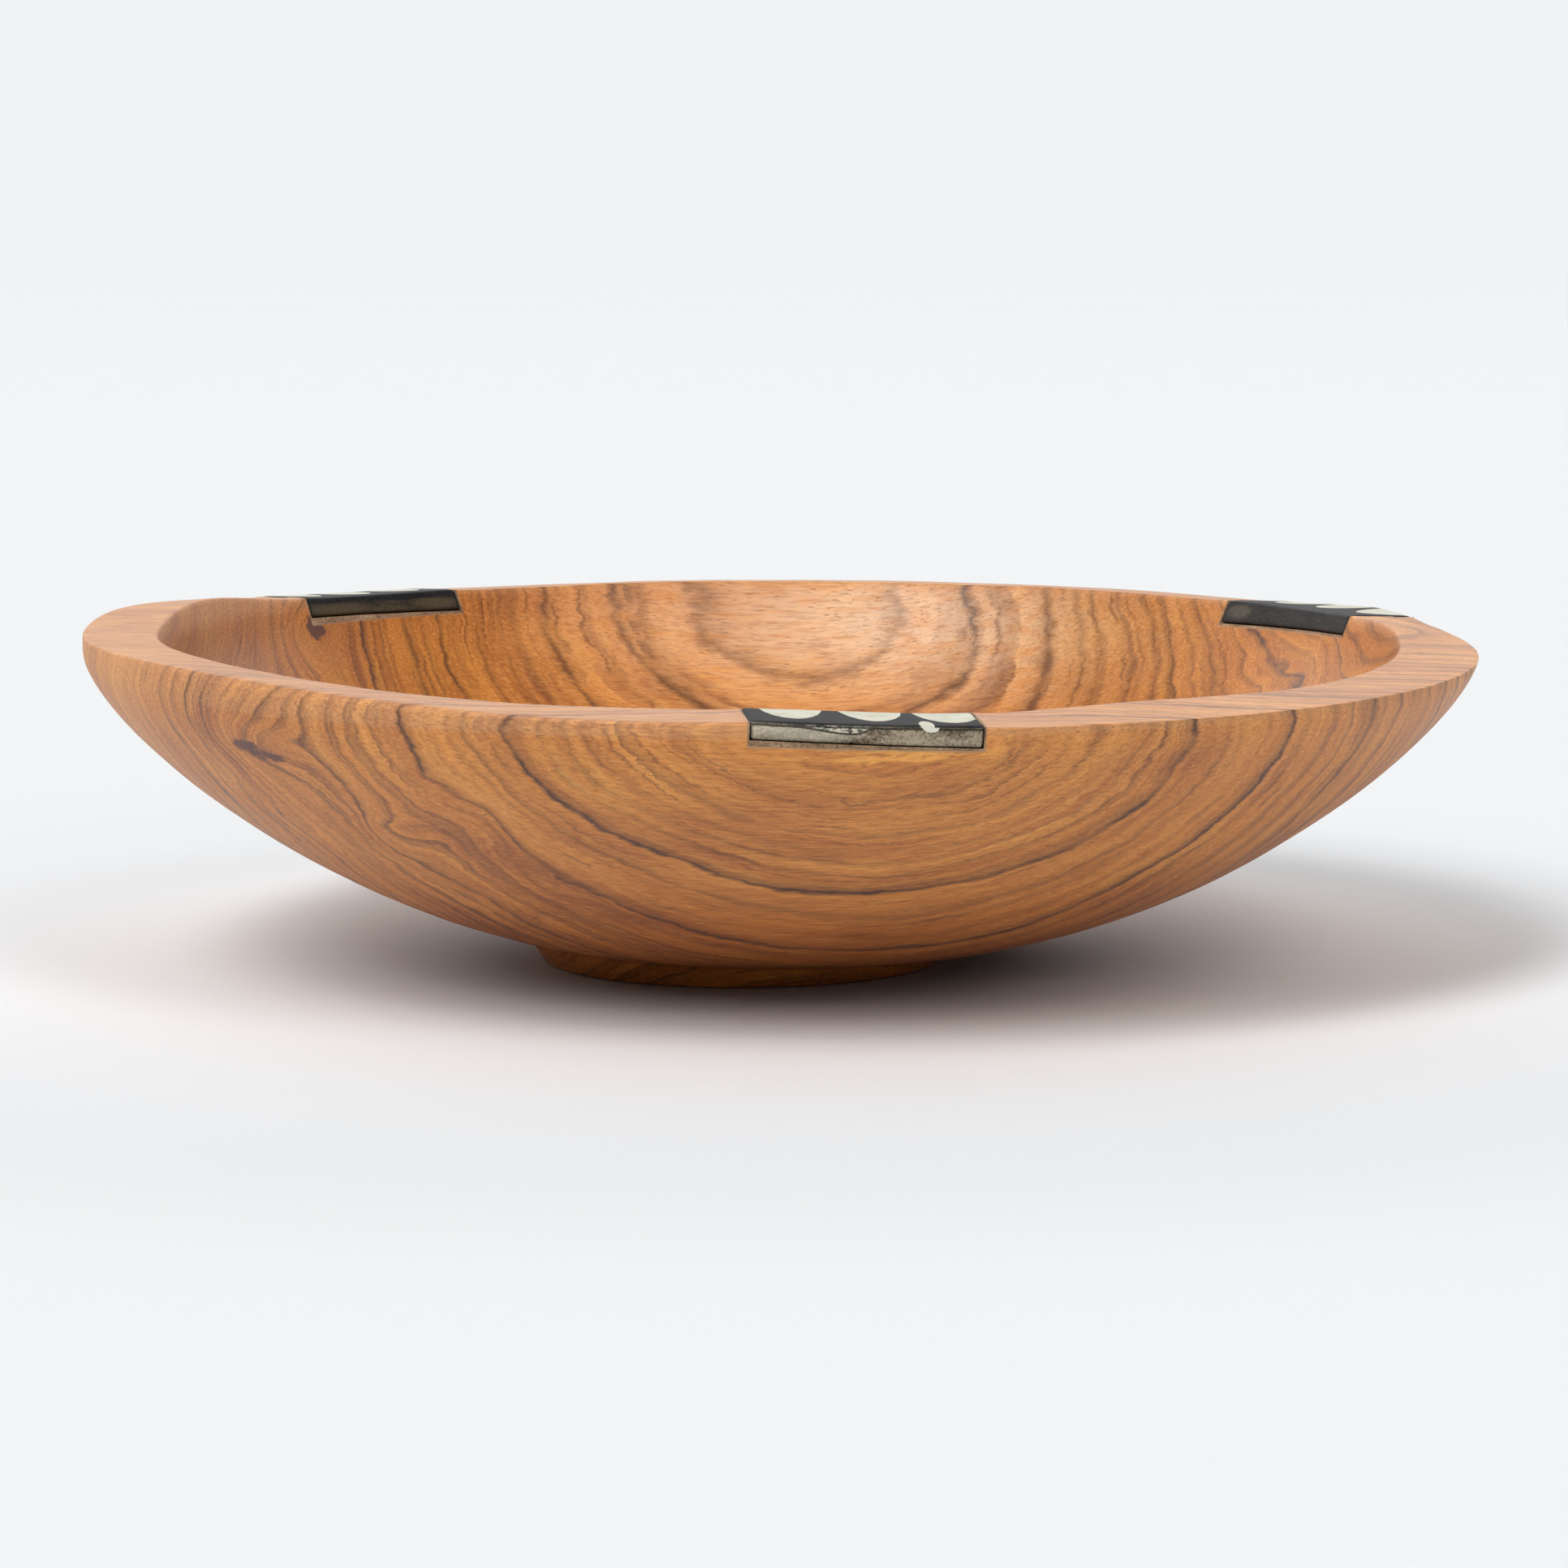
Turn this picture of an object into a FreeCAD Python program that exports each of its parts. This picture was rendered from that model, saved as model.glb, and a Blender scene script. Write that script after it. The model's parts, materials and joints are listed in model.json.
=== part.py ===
"""Shallow carved wooden bowl with three bone bars let into its wavy rim.

The bowl is one piece of wood with a low foot left standing under it. Each bone bar sits in a notch
cut right across the rim, on a bed of resin glue, and is dressed flush with the wood inside and out.
Millimetres, +Z up. The origin is on the table plane, under the centre of the rim circle.
Angles round the rim run counter-clockwise from +X, so 270 degrees is the front (-Y).
"""
import FreeCAD, Part
import math
import os
from FreeCAD import Vector

# ---- the carved body ---------------------------------------------------------------------------
rim_radius = 152.4          # outer edge of the rim, a bowl 12 inches across
rim_width = 17.5            # flat top of the rim, from inner edge to outer edge
rim_height = 70.9           # inner edge of the rim above the table, before the carved wave
rim_fall = 1.0              # the top of the rim leans outward, so its outer edge is this much lower
shoulder_drop = 0.9         # the outer wall has turned upright this far below the inner edge of the rim
lip_drop = 4.0              # the inner wall is straight over this last stretch below the rim
belly_clearance = 3.85      # lowest part of the belly above the table: how far the foot stands out
floor_thickness = 10.1      # wood at the middle of the bowl, belly to floor
belly_fullness = 0.49       # shares of the run that hold each end of the belly curve on its tangent
shoulder_fullness = 0.232
floor_fullness = 0.54
wall_fullness = 0.63
inner_wall_slope = 66.0     # straight stretch of the inner wall, degrees from level

# ---- the foot ----------------------------------------------------------------------------------
foot_radius = 43.75         # flat face that stands on the table
foot_offset = -8.7          # the carver left the foot off centre, along X
foot_side_lean = 33.0       # side of the foot, degrees from upright, wider at the belly
foot_cover = 1.0            # the level middle of the belly stays this far inside the foot
foot_edge_round = 1.2
foot_root_round = 2.5

# ---- the carved wave of the rim: (height, angle of its middle, sharpness) ---------------------
inner_edge_waves = [(3.9, 162, 36), (2.5, 201, 4.6), (1.8, 8, 44), (-2.4, 300, 2.6), (9.0, 286, 18.5),
                    (-8.7, 285.5, 27)]
outer_edge_waves = [(3.8, 165.5, 15.7), (4.85, 214, 5.4), (1.7, 24, 74), (-1.95, 306.5, 1.27),
                    (0.85, 268.5, 62)]
wave_points = 72            # stations round the rim that carry the wave

# ---- the eased outer edge of the rim: (height, angle of its middle, sharpness) -----------------
edge_bevel = 0.4            # height of the eased edge where it is slightest
edge_bevel_waves = [(1.6, 228, 12)]
bevel_width_share = 0.4     # width of the bevel for each millimetre of its height

# ---- the bone bars -----------------------------------------------------------------------------
bone_proud = 0.25           # bone stands this much above the wood of the rim
glue_line = 0.3             # glue between the end of a bar and the end of its notch
# angle of the middle, length, depth below the rim's outer edge at the first and at the last end,
# glue under the first and under the last end
bars = {
    "front": (276.35, 45.8, 3.45, 4.4, 1.2, 0.4),
    "rear_right": (28.35, 50.2, 3.35, 4.1, 0.4, 0.4),
    "rear_left": (135.2, 46.3, 3.8, 3.7, 0.5, 1.5),
}

inner_radius = rim_radius - rim_width
belly_flat_radius = foot_radius - abs(foot_offset) - foot_cover
overcut = 8.0               # how far cutting shapes run past the wood


def wave(angle, waves):
    """Height that the carved waves add at an angle in degrees."""
    return sum(a * math.exp(k * (math.cos(math.radians(angle - middle)) - 1)) for a, middle, k in waves)


def rim_top(angle, radius):
    """Height of the top of the rim at an angle and a radius."""
    inner = rim_height + wave(angle, inner_edge_waves)
    outer = rim_height - rim_fall + wave(angle, outer_edge_waves)
    return inner + (outer - inner) * (radius - inner_radius) / rim_width


def bezier(*poles):
    curve = Part.BezierCurve()
    curve.setPoles([Vector(r, 0, z) for r, z in poles])
    return curve.toShape()


def line(a, b):
    return Part.makeLine(Vector(a[0], 0, a[1]), Vector(b[0], 0, b[1]))


def closed_curve(point_at):
    """Smooth closed edge through points round the rim; point_at gives (radius, height) at an angle."""
    points = []
    for i in range(wave_points):
        angle = 360.0 * i / wave_points
        radius, height = point_at(angle)
        a = math.radians(angle)
        points.append(Vector(radius * math.cos(a), radius * math.sin(a), height))
    curve = Part.BSplineCurve()
    curve.interpolate(Points=points, PeriodicFlag=True)
    return curve.toShape()


def ring_above(inner_point, outer_point):
    """Solid ring standing on the ruled strip between two closed curves, for cutting the rim."""
    strip = Part.makeRuledSurface(closed_curve(inner_point), closed_curve(outer_point))
    return strip.extrude(Vector(0, 0, rim_height))


def top_cutter(lift):
    """Everything above the top of the rim, raised by lift."""
    low, high = inner_radius - overcut, rim_radius + overcut
    return ring_above(lambda a: (low, rim_top(a, low) + lift), lambda a: (high, rim_top(a, high) + lift))


def bevel_cutter(lift):
    """Everything outside the eased outer edge of the rim, raised by lift."""
    def along(angle, share):
        # share 0 is on the top of the rim, 1 is on the outer wall
        tall = edge_bevel + wave(angle, edge_bevel_waves)
        wide = tall * bevel_width_share
        top = rim_top(angle, rim_radius - wide) + lift
        return rim_radius - wide + share * wide, top - share * tall
    return ring_above(lambda a: along(a, -1), lambda a: along(a, 2))


def body_blank():
    """The bowl before its rim is cut to the wave, without its foot."""
    blank_top = rim_height + overcut
    floor = belly_clearance + floor_thickness
    reach = rim_radius - belly_flat_radius
    shoulder = rim_height - shoulder_drop
    outer = bezier(
        (belly_flat_radius, belly_clearance),
        (belly_flat_radius + belly_fullness * reach, belly_clearance),
        (rim_radius, shoulder - shoulder_fullness * (shoulder - belly_clearance)),
        (rim_radius, shoulder))
    slope = math.radians(inner_wall_slope)
    lip_low = (inner_radius - lip_drop / math.tan(slope), rim_height - lip_drop)
    lip_high = (inner_radius + overcut / math.tan(slope), blank_top)
    pull = wall_fullness * (lip_low[1] - floor)
    inner = bezier(
        (0, floor),
        (floor_fullness * inner_radius, floor),
        (lip_low[0] - pull * math.cos(slope), lip_low[1] - pull * math.sin(slope)),
        lip_low)
    profile = Part.Wire([
        line((0, belly_clearance), (belly_flat_radius, belly_clearance)),
        outer,
        line((rim_radius, shoulder), (rim_radius, blank_top)),
        line((rim_radius, blank_top), lip_high),
        line(lip_high, lip_low),
        inner,
        line((0, floor), (0, belly_clearance))])
    return Part.Face(profile).revolve(Vector(0, 0, 0), Vector(0, 0, 1), 360)


def with_foot(body):
    """Leave the off-centre foot standing under the belly, with its edge and root rounded."""
    tall = belly_clearance + 0.5 * floor_thickness
    top_radius = foot_radius + tall * math.tan(math.radians(foot_side_lean))
    centre = Vector(foot_offset, 0, 0)
    foot = Part.makeCone(foot_radius, top_radius, tall, centre)
    joined = body.fuse(foot).removeSplitter()
    base = [e for e in joined.Edges if e.BoundBox.ZMax < 0.01]
    joined = joined.makeFillet(foot_edge_round, base)
    root = [e for e in joined.Edges
            if foot_edge_round < e.BoundBox.ZMin and e.BoundBox.ZMax < tall
            and e.BoundBox.YLength > foot_radius]
    return joined.makeFillet(foot_root_round, root)


def across_rim(angle, corners):
    """Prism running right across the rim at an angle; corners are (along the bar, height)."""
    a = math.radians(angle)
    outward = Vector(math.cos(a), math.sin(a), 0)
    along = Vector(-math.sin(a), math.cos(a), 0)
    start = outward * (inner_radius - 3 * overcut)
    points = [start + along * t + Vector(0, 0, z) for t, z in corners]
    face = Part.Face(Part.makePolygon(points + points[:1]))
    return face.extrude(outward * (rim_width + 5 * overcut))


def bar_and_notch(angle, length, depth_first, depth_last, glue_first, glue_last):
    """Prisms of a bone bar and of the notch that holds it and its glue."""
    half = 0.5 * length
    swing = math.degrees(math.atan2(half, rim_radius))
    first = rim_top(angle - swing, rim_radius) - depth_first
    last = rim_top(angle + swing, rim_radius) - depth_last
    sky = rim_height + 3 * overcut
    bar = across_rim(angle, [(-half, first), (half, last), (half, sky), (-half, sky)])
    wide = half + glue_line
    low_first, low_last = first - glue_first, last - glue_last
    notch = across_rim(angle, [(-wide, low_first), (wide, low_last), (wide, sky), (-wide, sky)])
    return bar, notch


def only_solid(shape):
    """The one solid of a boolean result."""
    if len(shape.Solids) != 1:
        raise RuntimeError("expected one solid, found %d" % len(shape.Solids))
    return shape.Solids[0]


# ---- make the pieces ---------------------------------------------------------------------------
blank = body_blank()
rim_wood = blank.cut(top_cutter(0)).cut(bevel_cutter(0))
rim_bone = blank.cut(top_cutter(bone_proud)).cut(bevel_cutter(bone_proud))

pieces = {}
bowl = with_foot(rim_wood)
for name, sizes in bars.items():
    bar, notch = bar_and_notch(*sizes)
    pieces["bone_inlay_" + name] = only_solid(rim_bone.common(bar))
    pieces["resin_bed_" + name] = only_solid(rim_wood.common(notch).cut(bar))
    bowl = bowl.cut(notch)
pieces["bowl_body"] = only_solid(bowl)

os.makedirs("parts", exist_ok=True)
for name, shape in pieces.items():
    if not shape.isValid():
        raise RuntimeError(name + " is not a valid solid")
    shape.exportStep("parts/" + name + ".step")
    box = shape.optimalBoundingBox(False)
    print("%-24s %9.1f mm3  x %7.2f %7.2f  y %7.2f %7.2f  z %6.2f %6.2f" % (
        name, shape.Volume, box.XMin, box.XMax, box.YMin, box.YMax, box.ZMin, box.ZMax))
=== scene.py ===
"""Looks of the carved wooden bowl: figured olive wood, dyed bone bars and their resin beds.

Metres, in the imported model's own frame. The bowl's skin is measured from the CAD solids by casting rays,
then gets the softened edges and slight unevenness of hand carving. Angles round the rim run
counter-clockwise from +X, so the front is at 270 degrees.
"""
import json
import math
from types import SimpleNamespace

import bmesh
import bpy
import numpy as np
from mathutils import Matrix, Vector, noise
from mathutils.bvhtree import BVHTree


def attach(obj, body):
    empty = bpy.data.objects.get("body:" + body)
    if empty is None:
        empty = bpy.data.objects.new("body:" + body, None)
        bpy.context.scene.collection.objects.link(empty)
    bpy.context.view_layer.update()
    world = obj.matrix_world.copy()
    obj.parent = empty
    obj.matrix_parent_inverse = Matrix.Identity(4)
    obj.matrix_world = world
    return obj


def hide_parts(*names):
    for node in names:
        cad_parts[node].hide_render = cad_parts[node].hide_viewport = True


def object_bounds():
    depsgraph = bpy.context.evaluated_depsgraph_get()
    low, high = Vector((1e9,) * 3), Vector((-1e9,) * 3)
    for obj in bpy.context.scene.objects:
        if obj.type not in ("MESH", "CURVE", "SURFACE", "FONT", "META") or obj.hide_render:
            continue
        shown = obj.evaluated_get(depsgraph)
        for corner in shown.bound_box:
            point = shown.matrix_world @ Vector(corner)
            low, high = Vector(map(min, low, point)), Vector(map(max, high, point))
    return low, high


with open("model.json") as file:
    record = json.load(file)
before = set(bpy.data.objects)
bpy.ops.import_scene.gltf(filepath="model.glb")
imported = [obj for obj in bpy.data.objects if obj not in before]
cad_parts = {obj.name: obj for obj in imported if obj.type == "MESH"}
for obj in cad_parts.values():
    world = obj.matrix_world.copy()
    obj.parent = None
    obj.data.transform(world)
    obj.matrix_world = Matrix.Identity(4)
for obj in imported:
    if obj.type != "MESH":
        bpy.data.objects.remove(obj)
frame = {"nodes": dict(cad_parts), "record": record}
cad_low, cad_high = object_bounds()
MM = 0.001

BARS = ("front", "rear_left", "rear_right")
RIM_RADIUS = 0.5 * (cad_high.y - cad_low.y)
FOOT_CENTRE = Vector(frame["record"]["mounts"][0]["pos_m"])

# ---- the camera: eight rim radii in front of the bowl, looking slightly down --------------------
CAMERA_PLACE = Vector((0.0005, -1.2192, 0.1954))
CAMERA_DIP = math.radians(7.34)
CAMERA_LENS = 128.2         # millimetres
CAMERA_FRAME = 36.0         # its width, millimetres

# ---- studio light: two tall softboxes in front and a lit pale wall behind -----------------------
# softboxes: azimuth and height of the middle in degrees, strength
SOFTBOXES = {"key_softbox": (235.5, 44.5, 2.45), "fill_softbox": (304.5, 36.5, 1.12)}
DISC_WIDTH, DISC_STEP = 20, 11          # degrees across a disc of light, and from one disc to the next
WALL_RADIANCE = 0.25
PANEL_RADIANCE = 3.6        # a long panel high on the wall
PANEL_FADES_IN, PANEL_FADES_OUT = (0.24, 0.36), (0.46, 0.60)        # sines of the angles over level
WALL_AZIMUTH = math.radians(100)
ROOM_RADIANCE = 0.12
PALE_ROOM = (0.872, 0.893, 0.912)       # all round below the horizon

# ---- paper floor: colour near the bowl (paler, painted light), colour farther off, its grain, the painted shadow right under the bowl
PAPER_NEAR_PAINTED_LIGHT, PAPER_FAR = (0.800, 0.830, 0.852), (0.735, 0.748, 0.757)
PAPER_GRAIN, PAPER_PAINTED_SHADOW = (0.50, 0.50, 0.52), (0.35, 0.35, 0.36)
FLOOR_HALF = 5.0
FLOOR_HEIGHT = -0.0001      # a hair under the foot, so that the two faces do not coincide


# ================================================================================================
# small helpers
# ================================================================================================
def tree_of(names):
    """One search tree over the meshes of several CAD nodes."""
    corners, faces = [], []
    for name in names:
        mesh = frame["nodes"][name].data
        start = len(corners)
        corners += [v.co.copy() for v in mesh.vertices]
        faces += [[start + i for i in p.vertices] for p in mesh.polygons]
    return BVHTree.FromPolygons(corners, faces)


def spread(start, end, count, ease=1.0):
    """Values from start to end; ease over 1 packs them towards the end."""
    return [start + (end - start) * (1 - (1 - i / (count - 1)) ** ease) for i in range(count)]


def smooth_step(low, high, value):
    t = min(1.0, max(0.0, (value - low) / (high - low)))
    return t * t * (3 - 2 * t)


def new_piece(name, corners, faces, material, stands_for):
    """A mesh object that replaces a CAD node."""
    mesh = bpy.data.meshes.new(name)
    mesh.from_pydata(corners, [], faces)
    mesh.validate()
    piece = bpy.data.objects.new(name, mesh)
    bpy.context.scene.collection.objects.link(piece)
    mesh.materials.append(material)
    mesh.shade_smooth()
    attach(piece, "root")
    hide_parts(stands_for)
    return piece


# ================================================================================================
# node building
# ================================================================================================
class Nodes:
    """Short calls for building a material's node tree."""

    def __init__(self, name):
        self.material = bpy.data.materials.new(name)
        self.material.use_nodes = True
        self.shader = self.material.node_tree.nodes["Principled BSDF"]
        self.start(self.material.node_tree, "Object")

    @classmethod
    def on(cls, tree, coordinates):
        """Builds in a tree that exists already, such as a world's."""
        nodes = cls.__new__(cls)
        nodes.start(tree, coordinates)
        return nodes

    def start(self, tree, coordinates):
        self.tree = tree
        self.place = tree.nodes.new("ShaderNodeTexCoord").outputs[coordinates]
        self.x, self.y, self.z = self.split(self.place)

    def plug(self, socket, value):
        if isinstance(value, bpy.types.NodeSocket):
            self.tree.links.new(value, socket)
        else:
            socket.default_value = value

    def math(self, operation, a, b=0.0, c=0.0, clamp=False):
        node = self.tree.nodes.new("ShaderNodeMath")
        node.operation = operation
        node.use_clamp = clamp
        for socket, value in zip(node.inputs, (a, b, c)):
            self.plug(socket, value)
        return node.outputs[0]

    def add(self, *values):
        total = values[0]
        for value in values[1:]:
            total = self.math("ADD", total, value)
        return total

    def sub(self, a, b):
        return self.math("SUBTRACT", a, b)

    def mul(self, *values):
        total = values[0]
        for value in values[1:]:
            total = self.math("MULTIPLY", total, value)
        return total

    def span(self, value, low, high, to_low=0.0, to_high=1.0, kind="SMOOTHSTEP"):
        """Maps low..high onto to_low..to_high, smoothly and clamped."""
        node = self.tree.nodes.new("ShaderNodeMapRange")
        node.interpolation_type = kind
        for socket, number in zip(node.inputs, (value, low, high, to_low, to_high)):
            self.plug(socket, number)
        return node.outputs[0]

    def split(self, vector):
        node = self.tree.nodes.new("ShaderNodeSeparateXYZ")
        self.plug(node.inputs[0], vector)
        return node.outputs

    def join(self, x, y, z):
        node = self.tree.nodes.new("ShaderNodeCombineXYZ")
        for socket, value in zip(node.inputs, (x, y, z)):
            self.plug(socket, value)
        return node.outputs[0]

    def noise(self, vector, size, detail, rough=0.5, shift=0.0):
        """Noise from 0 to 1 whose features are about size metres along each axis."""
        scaled = self.tree.nodes.new("ShaderNodeVectorMath")
        scaled.operation = "MULTIPLY_ADD"
        self.plug(scaled.inputs[0], vector)
        scaled.inputs[1].default_value = [1 / s for s in size]
        scaled.inputs[2].default_value = (shift, 1.7 * shift, -0.6 * shift)
        node = self.tree.nodes.new("ShaderNodeTexNoise")
        self.plug(node.inputs["Vector"], scaled.outputs[0])
        node.inputs["Scale"].default_value = 1.0
        node.inputs["Detail"].default_value = detail
        node.inputs["Roughness"].default_value = rough
        return node.outputs["Fac"]

    def swing(self, *args, **kwargs):
        """Noise that swings from about -1 to 1."""
        return self.math("MULTIPLY_ADD", self.noise(*args, **kwargs), 2.6, -1.3)

    def ramp(self, value, stops):
        """Colour ramp from (place, colour) stops."""
        node = self.tree.nodes.new("ShaderNodeValToRGB")
        elements = node.color_ramp.elements
        while len(elements) < len(stops):
            elements.new(0.5)
        for element, (place, colour) in zip(elements, stops):
            element.position = place
            element.color = (*colour, 1.0)
        self.plug(node.inputs[0], value)
        return node.outputs["Color"]

    def blend(self, share, first, second, kind="MIX"):
        node = self.tree.nodes.new("ShaderNodeMix")
        node.data_type = "RGBA"
        node.blend_type = kind
        self.plug(node.inputs[0], share)
        for socket, value in ((node.inputs[6], first), (node.inputs[7], second)):
            if isinstance(value, tuple) and len(value) == 3:
                value = (*value, 1.0)
            self.plug(socket, value)
        return node.outputs[2]

    def tint(self, share, base, filter_colour):
        """The base colour seen through a filter, by a share."""
        return self.blend(share, base, self.blend(1.0, base, filter_colour, "MULTIPLY"))

    def near(self, centre, radii):
        """1 at a place, falling to 0 at the radii given along X, Y and Z."""
        terms = []
        for axis, middle, radius in zip((self.x, self.y, self.z), centre, radii):
            offset = self.math("MULTIPLY_ADD", axis, 1 / radius, -middle / radius)
            terms.append(self.mul(offset, offset))
        return self.math("POWER", math.e, self.mul(self.add(*terms), -1.0))

    def bump(self, height, distance, strength):
        node = self.tree.nodes.new("ShaderNodeBump")
        node.inputs["Strength"].default_value = strength
        node.inputs["Distance"].default_value = distance
        self.plug(node.inputs["Height"], height)
        return node.outputs[0]


# ================================================================================================
# the bars' places, measured from the CAD nodes
# ================================================================================================
UPPER_SHARE = 0.6           # corners higher than this share of a bar may belong to its top
TOP_SLACK = 0.0002          # corners lower than the fitted top by more than this do not


class BarPlace:
    """Where a bone bar lies: t runs along it, r outward, z up. Heights are fitted over (t, r)."""

    def __init__(self, name):
        bone = self.corners("bone_inlay_" + name)
        bed = self.corners("resin_bed_" + name)
        middle = 0.5 * (bone.min(axis=0) + bone.max(axis=0))
        angle = math.atan2(middle[1], middle[0])
        for _ in range(4):      # turn until both ends of the bar are equally far along
            t = self.local(bone, angle)[:, 0]
            angle += math.atan2(0.5 * (t.min() + t.max()), RIM_RADIUS)
        self.angle = angle
        self.outward = Vector((math.cos(angle), math.sin(angle), 0))
        self.along = Vector((-math.sin(angle), math.cos(angle), 0))
        spots = self.local(bone, angle)
        self.half = 0.5 * (spots[:, 0].max() - spots[:, 0].min())
        self.r_low, self.r_high = spots[:, 1].min(), spots[:, 1].max()
        self.bottom = self.lowest_line(spots)
        glue = self.local(bed, angle)
        self.notch_half = np.abs(glue[:, 0]).max()
        self.notch_bottom = self.lowest_line(glue)
        self.top = self.fit_top(spots)

    @staticmethod
    def corners(node):
        return np.array([v.co for v in frame["nodes"][node].data.vertices])

    @staticmethod
    def local(points, angle):
        c, s = math.cos(angle), math.sin(angle)
        return np.stack([-points[:, 0] * s + points[:, 1] * c, points[:, 0] * c + points[:, 1] * s,
                         points[:, 2]], axis=1)

    @staticmethod
    def lowest_line(spots):
        """Height at the middle and rise per metre along t."""
        t = spots[:, 0]
        ends = [spots[t < t.min() + MM][:, 2].min(), spots[t > t.max() - MM][:, 2].min()]
        return 0.5 * (ends[0] + ends[1]), (ends[1] - ends[0]) / (t.max() - t.min())

    def fit_top(self, spots):
        """Top height as c0 + c1 t + c2 q + c3 t t, with q measured outward from the middle of the bar."""
        low = self.bottom[0] + self.bottom[1] * spots[:, 0]
        upper = spots[spots[:, 2] > low + UPPER_SHARE * (spots[:, 2].max() - self.bottom[0])]
        t, r, z = upper[:, 0], upper[:, 1] - 0.5 * (self.r_low + self.r_high), upper[:, 2]
        keep = np.ones(len(t), bool)
        for _ in range(6):      # corners of the side walls lie lower and are dropped
            table = np.stack([np.ones_like(t), t, r, t * t], axis=1)
            fit = np.linalg.lstsq(table[keep], z[keep], rcond=None)[0]
            keep = z - table @ fit > -TOP_SLACK
        return [float(f) for f in fit]

    def point(self, t, r, z):
        return self.outward * r + self.along * t + Vector((0, 0, z))

    def top_at(self, t, r):
        c = self.top
        return c[0] + c[1] * t + c[2] * (r - 0.5 * (self.r_low + self.r_high)) + c[3] * t * t


PLACES = {name: BarPlace(name) for name in BARS}


# ================================================================================================
# olive wood: growth rings round a pith line above the bowl, cut by the carved surfaces
# ================================================================================================
PITH_HEIGHT = 0.1261        # the pith passes this high over the middle of the bowl
PITH_Y = 0.0095
PITH_TURN = 0.049           # radians about Z
PITH_RISE = 0.134           # rise for each metre along X
RING_LOW, RING_HIGH = 0.040, 0.180      # span of ring distances that the line ramps cover
BARK_SIDE = 0.158           # farther out than this the rings lie closer together
BARK_CROWDING = 1.8
FINE_LINE_STEP = 0.0025

# strong growth lines: distance from the pith in millimetres, darkness, width in millimetres
GROWTH_LINES = [
    (54.0, 0.5, 0.9), (62.0, 0.35, 0.8), (68.5, 0.4, 0.8), (74.5, 0.5, 0.8), (79.0, 0.6, 0.9),
    (84.2, 0.65, 0.9), (89.0, 0.35, 0.7), (93.2, 0.5, 0.8), (95.8, 0.9, 1.0), (99.6, 0.5, 0.7),
    (104.3, 0.9, 0.9), (107.2, 0.45, 0.6), (110.0, 0.8, 0.8), (112.3, 0.45, 0.6), (116.0, 0.45, 0.7),
    (119.2, 0.35, 0.6), (121.2, 0.55, 0.7), (124.6, 0.8, 0.9), (128.4, 0.45, 1.0), (130.4, 0.95, 1.3),
    (135.0, 0.5, 0.8), (138.6, 0.6, 0.8), (143.3, 0.3, 0.6), (145.5, 0.95, 0.9), (148.6, 0.3, 0.5),
    (151.3, 0.4, 0.6), (153.3, 0.5, 0.6), (157.0, 1.0, 0.9), (159.6, 0.4, 0.5), (161.4, 0.35, 0.3),
    (162.9, 0.35, 0.4), (165.0, 0.8, 0.45), (166.6, 0.35, 0.25), (167.6, 0.3, 0.25), (168.6, 0.4, 0.25),
    (169.5, 0.3, 0.2), (170.4, 0.35, 0.2),
]
LINES_PER_RAMP = 6          # five stops each, and a colour ramp holds at most 32
# one line, from the pith side outwards: offset from its place in widths, share of its darkness
LINE_SHAPE = ((-0.50, 0.0), (-0.05, 1.0), (0.25, 0.85), (0.65, 0.32), (2.3, 0.0))

# wandering of the rings: size along X, Y and Z, detail, roughness and shift of the noise, how far it
# moves a ring, and how much farther in troubled wood
RING_SWINGS = [
    ((0.075, 0.05, 0.05), 1.0, 0.5, 0.0, 0.0007, 0.0),
    ((0.026, 0.014, 0.014), 2.0, 0.5, 3.1, 0.0007, 0.0026),
    ((0.016, 0.026, 0.0040), 2.0, 0.5, 9.4, 0.00042, 0.0008),
    ((0.0050, 0.0028, 0.0026), 2.0, 0.6, 7.7, 0.00034, 0.0),
    ((0.0035, 0.0006, 0.0006), 1.0, 0.5, 14.0, 0.00016, 0.0),
]
# troubled wood: centre, reach along X, Y and Z
TROUBLED_WOOD = [
    ((-0.088, -0.102, 0.042), (0.032, 0.05, 0.026)),
    ((0.118, 0.05, 0.055), (0.03, 0.04, 0.03)),
]
# places where a branch base or a strain bends the rings: centre, reach along X, Y and Z, shift, all in mm
RING_BENDS = [
    ((-107, -105, 58), (13, 16, 9), 9.0),       # knot low on the left of the front
    ((-116, -96, 51), (9, 12, 6), -5.0),
    ((-79, -102, 39), (7, 12, 7), 6.0),
    ((-66, -112, 44), (6, 12, 12), -2.5),
    ((-58, -121, 45), (5, 12, 9), -2.6),
    ((-50, -112, 27), (7, 12, 5), 4.0),
    ((-112, 72, 63), (8, 9, 8), 7.0),           # small knot inside, under the end of a bar
    ((122, 48, 58), (9, 12, 9), 7.5),
    ((-121, 30, 58), (9, 16, 8), 5.0),
]
# dark hearts of the knots: centre, reach along X, Y and Z
KNOT_HEARTS = [
    ((-0.1085, -0.0995, 0.0588), (0.0042, 0.0060, 0.0017)),
    ((-0.1030, -0.1018, 0.0568), (0.0052, 0.0060, 0.0011)),
    ((-0.1078, 0.0760, 0.0640), (0.0022, 0.0040, 0.0019)),
    ((-0.1095, 0.0750, 0.0660), (0.0013, 0.0030, 0.0026)),
]
# patches of painted light and shade: centre, reach along X, Y and Z
# a painted lighter yellow crescent, standing in for light, just under the front bar
PAINTED_LIGHT_CRESCENT = ((0.022, -0.149, 0.0635), (0.024, 0.03, 0.0026))      # just under the front bar
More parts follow.
